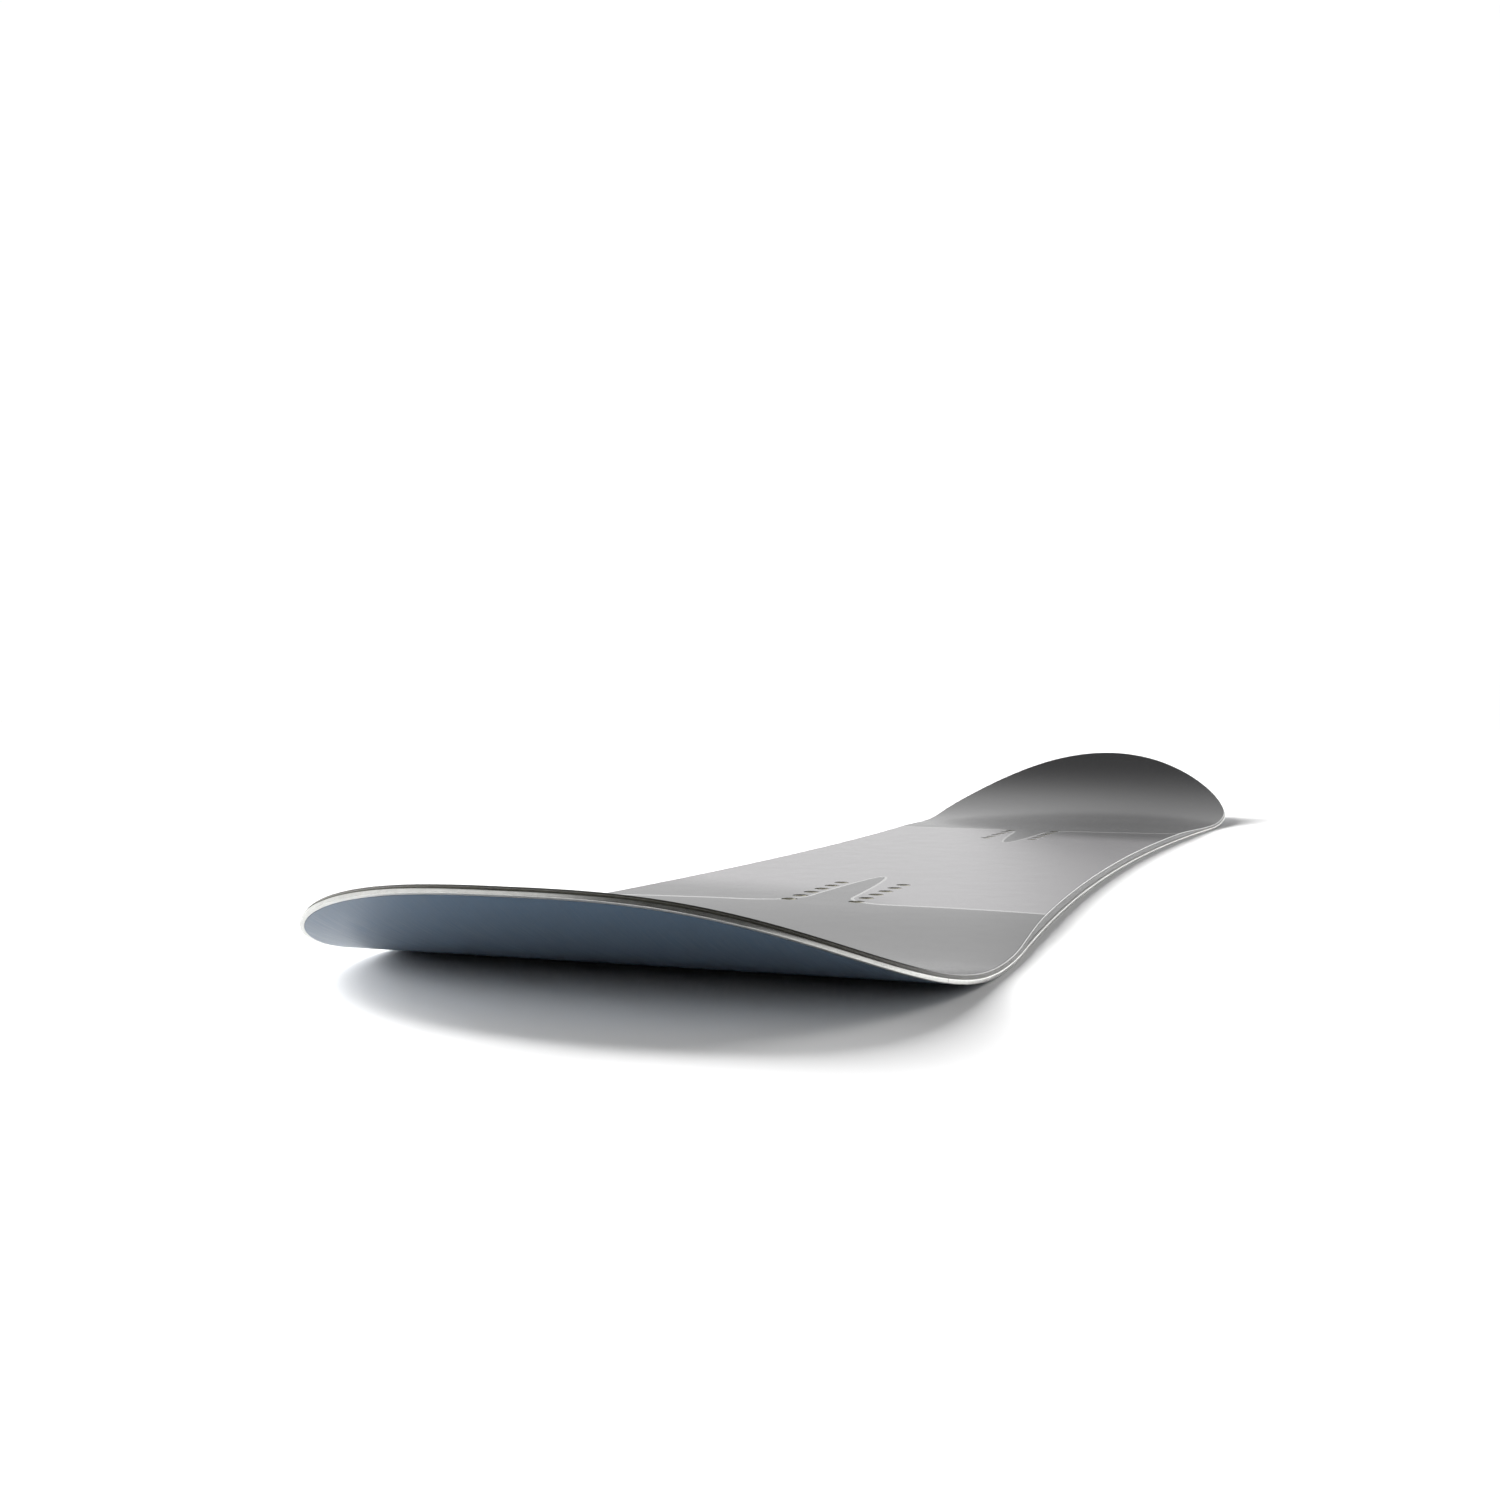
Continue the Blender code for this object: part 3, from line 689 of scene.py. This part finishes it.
def base_plastic():
    """Sintered base, waxed: lengthwise stone grinding in a blue-grey sheet."""
    made, tree, shader = new_material("base_plastic", IOR=1.5)
    flat = mark(tree, "flat")
    cuts = place_group(tree, LINES, {"Place": flat, "Length": 0.030, "Width": 0.0006})
    wax = place_group(tree, SPECKLE, {"Place": flat, "Size": 0.010})
    hairs = hairlines(tree, flat)
    blue = mix(tree, ramp(tree, cuts, 0.35, 0.65), (0.050, 0.088, 0.139), (0.061, 0.104, 0.161))
    blue = mix(tree, ramp(tree, wax, 0.4, 0.7, 0.0, 0.25), blue, (0.08, 0.126, 0.18))
    blue = mix(tree, sums(tree, "MULTIPLY", hairs, 0.2), blue, (0.16, 0.22, 0.28))
    tree.links.new(blue, shader["Base Color"])
    tree.links.new(ramp(tree, cuts, 0.3, 0.7, 0.30, 0.42), shader["Roughness"])
    bump(tree, shader, sums(tree, "SUBTRACT", cuts, sums(tree, "MULTIPLY", hairs, 0.5)), 0.000015)
    return made


def edge_steel():
    """Ground steel: bright, with fine lines along the edge and the odd dull patch."""
    made, tree, shader = new_material("edge_steel", Metallic=1.0)
    rim = mark(tree, "rim")
    cuts = place_group(tree, LINES, {"Place": rim, "Length": 0.012, "Width": 0.00012})
    dull = place_group(tree, SPECKLE, {"Place": rim, "Size": 0.004})
    colour = mix(tree, ramp(tree, dull, 0.35, 0.65), (0.66, 0.66, 0.64), (0.58, 0.58, 0.56))
    tree.links.new(mix(tree, ramp(tree, cuts, 0.30, 0.45, 1.0, 0.0), colour, (0.42, 0.42, 0.40)),
                   shader["Base Color"])
    tree.links.new(ramp(tree, cuts, 0.3, 0.7, 0.26, 0.38), shader["Roughness"])
    bump(tree, shader, cuts, 0.000003)
    return made


def glass_laminate():
    """Cured glass cloth in epoxy: olive, with the cut ends of its threads as small pale and dark dots."""
    made, tree, shader = new_material("glass_laminate", IOR=1.52)
    flat = mark(tree, "flat")
    ends = place_group(tree, SPECKLE, {"Place": flat, "Size": 0.0005})
    weave = place_group(tree, WEAVE, {"Place": flat, "Pitch": CLOTH_PITCH})
    colour = mix(tree, ramp(tree, ends, 0.38, 0.62), (0.022, 0.021, 0.015), (0.070, 0.067, 0.049))
    tree.links.new(mix(tree, sums(tree, "MULTIPLY", weave, 0.35), colour, (0.095, 0.092, 0.068)),
                   shader["Base Color"])
    tree.links.new(ramp(tree, ends, 0.3, 0.7, 0.35, 0.55), shader["Roughness"])
    bump(tree, shader, ends, 0.00003)
    return made


def side_plastic():
    """Milled sidewall plastic: mid grey, with the cutter's lines along it and its faint chatter across."""
    made, tree, shader = new_material("side_plastic", IOR=1.46)
    flat = mark(tree, "flat")
    cuts = place_group(tree, LINES, {"Place": flat, "Length": 0.020, "Width": 0.00035})
    mottle = place_group(tree, SPECKLE, {"Place": flat, "Size": 0.0012})
    along = node(tree, "ShaderNodeSeparateXYZ", {0: flat}).outputs[0]
    chatter = sums(tree, "SINE", sums(tree, "MULTIPLY", along, 2 * math.pi / CHATTER_PITCH))
    colour = mix(tree, ramp(tree, mottle, 0.3, 0.7), (0.130, 0.130, 0.130), (0.165, 0.165, 0.162))
    tree.links.new(mix(tree, ramp(tree, cuts, 0.55, 0.75, 0.0, 0.4), colour, (0.22, 0.22, 0.215)),
                   shader["Base Color"])
    tree.links.new(ramp(tree, cuts, 0.3, 0.7, 0.42, 0.56), shader["Roughness"])
    bump(tree, shader, sums(tree, "MULTIPLY_ADD", chatter, 0.06, cuts), 0.00002)
    return made


def damping_rubber():
    """Black rubber foil: matt, a little grainy."""
    made, tree, shader = new_material("damping_rubber", IOR=1.5)
    grain = place_group(tree, SPECKLE, {"Place": mark(tree, "flat"), "Size": 0.0006})
    tree.links.new(mix(tree, grain, (0.018, 0.018, 0.018), (0.045, 0.045, 0.045)), shader["Base Color"])
    tree.links.new(ramp(tree, grain, 0.3, 0.7, 0.70, 0.90), shader["Roughness"])
    bump(tree, shader, grain, 0.00002)
    return made


def core_wood():
    """Planed poplar: pale straw with lengthwise grain and pores; each lath has its own tone."""
    made, tree, shader = new_material("core_wood", IOR=1.45)
    place = node(tree, "ShaderNodeTexCoord").outputs["Object"]
    split = node(tree, "ShaderNodeSeparateXYZ", {0: place}).outputs
    lath = sums(tree, "FLOOR", sums(tree, "DIVIDE", sums(tree, "ADD", split[1], LATH_WIDTH / 2), LATH_WIDTH))
    tone = node(tree, "ShaderNodeTexWhiteNoise", {"W": lath}, noise_dimensions="1D").outputs["Value"]
    shifted = node(tree, "ShaderNodeCombineXYZ", {0: sums(tree, "MULTIPLY_ADD", tone, 3.0, split[0]),
                                                  1: split[1], 2: split[2]}).outputs[0]
    grain = place_group(tree, LINES, {"Place": shifted, "Length": 0.180, "Width": 0.0035})
    pores = place_group(tree, LINES, {"Place": shifted, "Length": 0.006, "Width": 0.0003})
    colour = mix(tree, ramp(tree, grain, 0.35, 0.65), (0.74, 0.58, 0.38), (0.58, 0.41, 0.24))
    colour = mix(tree, ramp(tree, tone, 0.0, 1.0, 0.0, 0.35), colour, (0.66, 0.55, 0.40))
    tree.links.new(mix(tree, ramp(tree, pores, 0.62, 0.75, 0.0, 0.5), colour, (0.36, 0.24, 0.13)),
                   shader["Base Color"])
    tree.links.new(ramp(tree, grain, 0.3, 0.7, 0.55, 0.70), shader["Roughness"])
    bump(tree, shader, pores, 0.00004)
    return made


def insert_steel():
    """Passivated steel of the threaded inserts: brassy, turned."""
    made, tree, shader = new_material("insert_steel", Metallic=0.55)
    place = node(tree, "ShaderNodeTexCoord").outputs["Object"]
    stain = place_group(tree, SPECKLE, {"Place": place, "Size": 0.0015})
    turned = noise(tree, scaled(tree, place, (120.0, 120.0, 9000.0)), 1.0, 2.0)
    tree.links.new(mix(tree, ramp(tree, stain, 0.35, 0.65), (0.50, 0.48, 0.36), (0.38, 0.36, 0.26)),
                   shader["Base Color"])
    tree.links.new(ramp(tree, turned, 0.3, 0.7, 0.34, 0.48), shader["Roughness"])
    bump(tree, shader, turned, 0.000006)
    return made


# Pieces, from the base up


def base_sheet(material):
    """The running base: a thin sheet that ends against the steel."""
    rim = at(BEAD_WIDTH + BASE_FIT)
    profile = [rim_place(OUTLINE, rim, at(height)) for height in (BASE_THICK, BASE_THICK / 2, 0.0)]
    sheet("base_sheet_ground", OUTLINE, at(BASE_THICK), at(0.0), profile, material, "base_plastic",
          ["base_sheet"])


def corner_arc(inset, height, radius, start):
    """A rounded corner of the steel's section: a quarter circle about its centre, from this many degrees."""
    turns = np.radians(start + np.linspace(0.0, 90.0, ROUNDED_STEPS + 1))
    return [(at(inset + radius * math.cos(turn)), at(height + radius * math.sin(turn))) for turn in turns]


def steel_edges(material):
    """Steel bead with its corners broken and a flange in over the base: two sides and two hoops."""
    low, high = EDGE_ROUNDING
    under = BEAD_TOP - FLANGE_THICK
    section = [
        *corner_arc(low, low, low, 180.0),
        *corner_arc(BEAD_WIDTH - low, low, low, 270.0),
        (at(BEAD_WIDTH), at(under)),
        (at(FLANGE_INSET), at(under)),
        (at(FLANGE_INSET), at(BEAD_TOP)),
        *corner_arc(high, BEAD_TOP - high, high, 90.0),
    ]
    tail = -TAIL_WIDEST_AT - EDGE_JOINT
    nose = NOSE_WIDEST_AT + EDGE_JOINT
    tail_rows = rows_between(OUTLINE[0, 0], tail - EDGE_BUTT / 2)
    middle_rows = rows_between(tail + EDGE_BUTT / 2, nose - EDGE_BUTT / 2)
    nose_rows = rows_between(nose + EDGE_BUTT / 2, OUTLINE[-1, 0])
    runs = {
        "left": [(middle_rows, 1.0)],
        "right": [(middle_rows, -1.0)],
        "tail": [(tail_rows[:0:-1], -1.0), (tail_rows, 1.0)],
        "nose": [(nose_rows, -1.0), (nose_rows[-2::-1], 1.0)],
    }
    for word, run in runs.items():
        sweep(f"steel_edge_{word}_ground", run, section, material, [f"steel_edge_{word}"])


def lower_fibreglass(material):
    """The cloth under the core, which steps up at its rim over the flanges of the steel."""
    under, over = at(RIM_GLASS - GLUE), at(RIM_GLASS + GLASS_THICK + GLUE)
    inner_under, inner_over = at(INNER_GLASS - GLUE), at(INNER_GLASS + GLASS_THICK)
    section = [
        (at(STEP_INSET + STEP_SHIFT + STEP_RISE), inner_over),
        (at(STEP_INSET + STEP_SHIFT), over),
        (leaning(over), over),
        (leaning(under), under),
        (at(STEP_INSET), under),
        (at(STEP_INSET + STEP_RISE), inner_under),
    ]
    profile = [rim_place(OUTLINE, *place) for place in section]
    sheet("lower_fibreglass_cloth", OUTLINE, inner_over, inner_under, profile, material, "glass_laminate",
          ["lower_fibreglass"])


def side_pieces(rubber, plastic):
    """On each side the rubber strip and the milled sidewall on it."""
    rows = rows_between(CORE_TAIL, CORE_NOSE)
    inner = at(CORE_INSET - BOND)
    layers = {
        "damping_strip": (at(RIM_DAMPER), at(RIM_DAMPER + DAMPER_THICK), rubber, "damping_rubber", 1),
        "sidewall": (at(RIM_SIDEWALL - GLUE), below_top(CORE_TOP), plastic, "side_plastic",
                     SIDEWALL_STEPS),
    }
    for layer, (under, over, material, slot, steps) in layers.items():
        shares = np.linspace(0.0, 1.0, steps + 1)
        levels = [lambda s, t=t: under(s) + (over(s) - under(s)) * t for t in shares]
        section = [(leaning(level), level) for level in levels] + [(inner, over), (inner, under)]
        for side, word in ((1.0, "left"), (-1.0, "right")):
            sweep(f"{layer}_{word}_milled", [(rows, side)], section, material, [f"{layer}_{word}"])


def tip_spacers(material):
    """The plastic filler of each tip, thinner over the steel's flange."""
    top, rim_under, inner_under = below_top(CORE_TOP), at(RIM_DAMPER), at(INNER_CORE)
    section = [
        (leaning(top), top),
        (leaning(rim_under), rim_under),
        (at(CORE_INSET - (RIM_DAMPER - INNER_CORE)), rim_under),
        (at(CORE_INSET), inner_under),
    ]
    tail = rows_between(OUTLINE[0, 0], CORE_TAIL - BOND)
    nose = rows_between(CORE_NOSE + BOND, OUTLINE[-1, 0])
    for word, rows in (("tail", tail), ("nose", nose)):
        profile = [rim_place(rows, *place) for place in section]
        sheet(f"tip_spacer_{word}_cut", rows, top, inner_under, profile, material, "side_plastic",
              [f"tip_spacer_{word}"])


def top_layer(name, depth, thick, rounding, material, slot, node_name):
    """A layer over the core with holes for the inserts, its upper rim rounded off if it is the top one."""
    over, under = below_top(depth), below_top(depth + thick + GLUE)
    edge = rim_place(OUTLINE, leaning(over), over)
    foot = rim_place(OUTLINE, leaning(under), under)
    if rounding:
        lower = below_top(depth + rounding)
        inset = leaning(over)
        start = rim_place(OUTLINE, lambda s: inset(s) + rounding, over)
        profile = rounded(start, edge, rim_place(OUTLINE, leaning(lower), lower)) + [foot]
    else:
        profile = [edge, foot]
    top = MIDDLE_THICK - depth
    lip = HOLE_LIP if rounding else PLAIN_LIP
    rings = hole_rings(top, top - thick - GLUE, lip)
    sheet(name, OUTLINE, over, under, profile, material, slot, [node_name], holes=rings)


def insert_pieces(material):
    """Threaded inserts: rings of flange and barrel, then a blind bore with a real thread.

    The bore is a grid of turns and heights. Its radius goes from the bore's to the thread's as a triangle
    wave of height over pitch less turn, which fades out at the floor.
    """
    turn = np.arange(THREAD_SIDES) * 2 * math.pi / THREAD_SIDES
    top = MIDDLE_THICK - INSERT_RECESS
    low = INNER_CORE
    shoulder = low + INSERT_FLANGE_THICK
    floor = low + INSERT_FLOOR
    deep = np.arange(top - INSERT_CHAMFER * 2, floor, -THREAD_PITCH / THREAD_ROWS)
    phase = (deep[:, None] / THREAD_PITCH - turn / (2 * math.pi)) % 1.0
    depth = np.abs(phase * 2 - 1) * (THREAD_RADIUS - INSERT_BORE_RADIUS)
    depth *= ease((deep - floor) / THREAD_PITCH)[:, None]
    thread = np.stack([INSERT_BORE_RADIUS + depth, np.broadcast_to(deep[:, None], depth.shape)], axis=-1)
    chamfer = INSERT_CHAMFER
    outer = [(0.0, low), (INSERT_FLANGE_RADIUS - chamfer, low), (INSERT_FLANGE_RADIUS, low + chamfer),
             (INSERT_FLANGE_RADIUS, shoulder - chamfer), (INSERT_FLANGE_RADIUS - chamfer, shoulder),
             (INSERT_BARREL_RADIUS, shoulder), (INSERT_BARREL_RADIUS, top - chamfer),
             (INSERT_BARREL_RADIUS - chamfer, top), (THREAD_RADIUS + chamfer, top)]
    inner = [(INSERT_BORE_RADIUS, floor), (0.0, floor)]
    outer, inner = (np.broadcast_to(np.array(part)[:, None], (len(part), THREAD_SIDES, 2))
                    for part in (outer, inner))
    radius, height = np.moveaxis(np.concatenate([outer, thread, inner]), -1, 0)
    shape = np.stack([radius * np.cos(turn), radius * np.sin(turn), height], axis=-1)
    faces = grid_faces(len(shape), THREAD_SIDES, closed=True)
    flat = shape.reshape(-1, 3)
    names = [f"insert_{pack}_{row}_{k + 1}" for pack in ("rear", "front")
             for row in ("left", "right") for k in range(PACK_HOLES)]
    for name, (s, y) in zip(names, insert_centres()):
        solid(f"{name}_threaded", flat + (s, y, 0.0), faces, material, [name])


def core_laths(material):
    """The laths keep their solids and take the wood."""
    for name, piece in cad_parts.items():
        if name.startswith("core_lath"):
            piece.data.materials.clear()
            piece.data.materials.append(material)


# Studio

FLOOR_REACH = 14.0
FLOOR_LIFT = 0.00002
PANELS = [
    # azimuth from, to, soft; elevation from, to, soft; radiance
    ((10.0, 64.0, 4.0), (-20.0, 38.0, 12.0), 0.70),
    ((-12.0, 10.0, 4.0), (4.0, 38.0, 12.0), 0.46),
    ((-125.0, -40.0, 6.0), (-20.0, 24.0, 8.0), 0.85),
]
STUDIO_DIM = 0.07
BELOW_FLOOR = 0.55
HORIZON_SOFT = 2.0
BACKDROP_WHITE = 1.02
FLOOR_WHITE = 0.93
LAMPS = [
    # azimuth from, to; elevation from, to; radiance
    ((46.0, 90.0), (8.0, 27.0), 10.0),
    ((90.0, 134.0), (8.0, 27.0), 10.0),
    ((56.0, 74.0), (8.0, 44.0), 34.0),
    ((-36.0, -8.0), (6.0, 40.0), 5.5),
]
CARDS = [
    ((58.0, 110.0), (0.0, 48.0), 1.1),
    ((110.0, 148.0), (0.0, 56.0), 1.1),
    ((-45.0, -3.0), (0.0, 16.0), 2.1),
]
BOX_AWAY = 60.0


def window(tree, value, low, high, soft):
    """One between two limits and nought outside them, with soft edges."""
    rise = ramp(tree, value, low - soft, low + soft)
    return sums(tree, "MULTIPLY", rise, ramp(tree, value, high - soft, high + soft, 1.0, 0.0))


def studio_world():
    """Soft panels of light round the board, worked out from the direction alone.

    The camera sees plain white.
    """
    world = bpy.data.worlds.new("studio")
    world.use_nodes = True
    tree = world.node_tree
    tree.nodes.clear()
    way = node(tree, "ShaderNodeTexCoord").outputs["Generated"]
    x, y, z = node(tree, "ShaderNodeSeparateXYZ", {0: way}).outputs
    azimuth = sums(tree, "DEGREES", sums(tree, "ARCTAN2", y, x))
    elevation = sums(tree, "DEGREES", sums(tree, "ARCSINE", z))
    light = ramp(tree, elevation, -HORIZON_SOFT, 0.0, BELOW_FLOOR, STUDIO_DIM)
    for sides, heights, radiance in PANELS:
        panel = sums(tree, "MULTIPLY", window(tree, azimuth, *sides), window(tree, elevation, *heights))
        above = sums(tree, "MULTIPLY", panel, ramp(tree, elevation, -HORIZON_SOFT / 2, 0.0))
        light = sums(tree, "MULTIPLY_ADD", above, radiance, light)
    seen = node(tree, "ShaderNodeLightPath").outputs["Is Camera Ray"]
    lit, white = (node(tree, "ShaderNodeBackground", {"Color": (1.0, 1.0, 1.0, 1.0), "Strength": strength})
                  for strength in (light, BACKDROP_WHITE))
    both = node(tree, "ShaderNodeMixShader", {0: seen, 1: lit.outputs[0], 2: white.outputs[0]})
    node(tree, "ShaderNodeOutputWorld", {"Surface": both.outputs[0]})
    bpy.context.scene.world = world


def soft_box(name, sides, heights, radiance, mirrored):
    """An upright soft box far away: either the board only mirrors it, or it only lights the board."""
    azimuth = math.radians(sum(sides) / 2)
    low, high = (BOX_AWAY * math.tan(math.radians(height)) for height in heights)
    data = bpy.data.lights.new(name, "AREA")
    data.shape = "RECTANGLE"
    data.size = 2 * BOX_AWAY * math.tan(math.radians(sides[1] - sides[0]) / 2)
    data.size_y = high - low
    data.energy = radiance * math.pi * data.size * data.size_y
    box = bpy.data.objects.new(name, data)
    box.location = (BOX_AWAY * math.cos(azimuth), BOX_AWAY * math.sin(azimuth), (low + high) / 2)
    box.rotation_euler = (math.pi / 2, 0.0, azimuth + math.pi / 2)
    box.visible_camera = False
    box.visible_glossy = mirrored
    box.visible_diffuse = not mirrored
    bpy.context.scene.collection.objects.link(box)


def soft_boxes():
    """Lamps on the left, which throw the shadow, one ahead on the right, and cards that the steel mirrors."""
    for number, lamp in enumerate(LAMPS, 1):
        soft_box(f"lamp_{number}", *lamp, mirrored=False)
    for number, card in enumerate(CARDS, 1):
        soft_box(f"card_{number}", *card, mirrored=True)


def studio_floor():
    """A white floor that the board lies on, open to a view from below."""
    made = bpy.data.materials.new("white_floor")
    made.use_nodes = True
    tree = made.node_tree
    tree.nodes.clear()
    white = node(tree, "ShaderNodeBsdfDiffuse", {"Color": (FLOOR_WHITE, FLOOR_WHITE, FLOOR_WHITE, 1.0)})
    clear = node(tree, "ShaderNodeBsdfTransparent")
    below = node(tree, "ShaderNodeNewGeometry").outputs["Backfacing"]
    passed = node(tree, "ShaderNodeLightPath").outputs["Transparent Depth"]
    open_to = sums(tree, "MAXIMUM", below, passed)
    both = node(tree, "ShaderNodeMixShader", {0: open_to, 1: white.outputs[0], 2: clear.outputs[0]})
    node(tree, "ShaderNodeOutputMaterial", {"Surface": both.outputs[0]})
    corners = [(-1, -1), (1, -1), (1, 1), (-1, 1)]
    mesh = bpy.data.meshes.new("floor")
    mesh.from_pydata([(x * FLOOR_REACH, y * FLOOR_REACH, FLOOR_LIFT) for x, y in corners], [], [(0, 1, 2, 3)])
    mesh.materials.append(made)
    floor = bpy.data.objects.new("floor", mesh)
    bpy.context.scene.collection.objects.link(floor)


# Camera: its place, its direction as yaw from +X towards +Y, pitch and roll, and its lens on a 36 mm sensor
CAMERA_AT = (-1.249159, -0.291398, 0.110647)
CAMERA_YAW = 0.358777
CAMERA_PITCH = -0.020647
CAMERA_ROLL = 0.003443
CAMERA_LENS = 39.977
CAMERA_NEAREST = 0.01


def photo_camera():
    """A camera at the photograph's viewing angle."""
    level = math.cos(CAMERA_PITCH)
    ahead = Vector((level * math.cos(CAMERA_YAW), level * math.sin(CAMERA_YAW), math.sin(CAMERA_PITCH)))
    beside = ahead.cross(Vector((0.0, 0.0, 1.0))).normalized()
    up = beside.cross(ahead)
    right = beside * math.cos(CAMERA_ROLL) + up * math.sin(CAMERA_ROLL)
    above = up * math.cos(CAMERA_ROLL) - beside * math.sin(CAMERA_ROLL)
    data = bpy.data.cameras.new("photo_camera")
    data.lens = CAMERA_LENS
    data.clip_start = CAMERA_NEAREST
    camera = bpy.data.objects.new("photo_camera", data)
    bpy.context.scene.collection.objects.link(camera)
    camera.matrix_world = Matrix.Translation(CAMERA_AT) @ Matrix((right, above, -ahead)).transposed().to_4x4()
    bpy.context.scene.camera = camera


def build():
    """Every piece of the board, then the studio and the camera."""
    photo_camera()
    base_sheet(base_plastic())
    steel_edges(edge_steel())
    laminate, plastic = glass_laminate(), side_plastic()
    lower_fibreglass(laminate)
    side_pieces(damping_rubber(), plastic)
    tip_spacers(plastic)
    core_laths(core_wood())
    top_layer("upper_fibreglass_cloth", UPPER_GLASS_TOP, GLASS_THICK, 0.0, laminate, "glass_laminate",
              "upper_fibreglass")
    top_layer("topsheet_printed", 0.0, TOPSHEET_THICK, TOP_ROUNDING, topsheet_film(), "topsheet_film",
              "topsheet")
    insert_pieces(insert_steel())
    studio_world()
    soft_boxes()
    studio_floor()
    bpy.context.scene.view_settings.view_transform = "Standard"


build()
